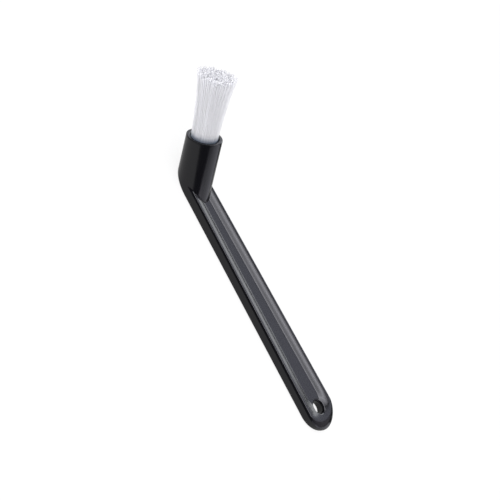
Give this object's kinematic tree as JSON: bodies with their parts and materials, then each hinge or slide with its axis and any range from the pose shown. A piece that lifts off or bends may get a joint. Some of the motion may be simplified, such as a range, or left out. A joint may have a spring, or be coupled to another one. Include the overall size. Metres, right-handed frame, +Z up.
{
  "type": "coffee machine cleaning brush",
  "caption": "Cleaning brush: a long dished black handle with a hanging hole, bent at its head into a round socket that holds a flared tuft of white bristles.",
  "frame": {"origin": "under the middle of the brush's bounding box, in the plane of the handle's flat underside", "axes": "+X along the handle from the hanging hole to the tuft, +Y across the handle, +Z up out of the dished face"},
  "size_m": [0.1792, 0.023, 0.0503],
  "materials": {
    "black_plastic": "glossy injection-moulded polypropylene",
    "white_nylon": "drawn nylon filament",
    "band_metal": "rolled tinned strip",
    "potting_resin": "poured and cured"
  },
  "bodies": {
    "root": {"handle": "black_plastic", "bristles": "white_nylon", "tuft_band": "band_metal", "tuft_resin": "potting_resin"}
  },
  "joints": []
}
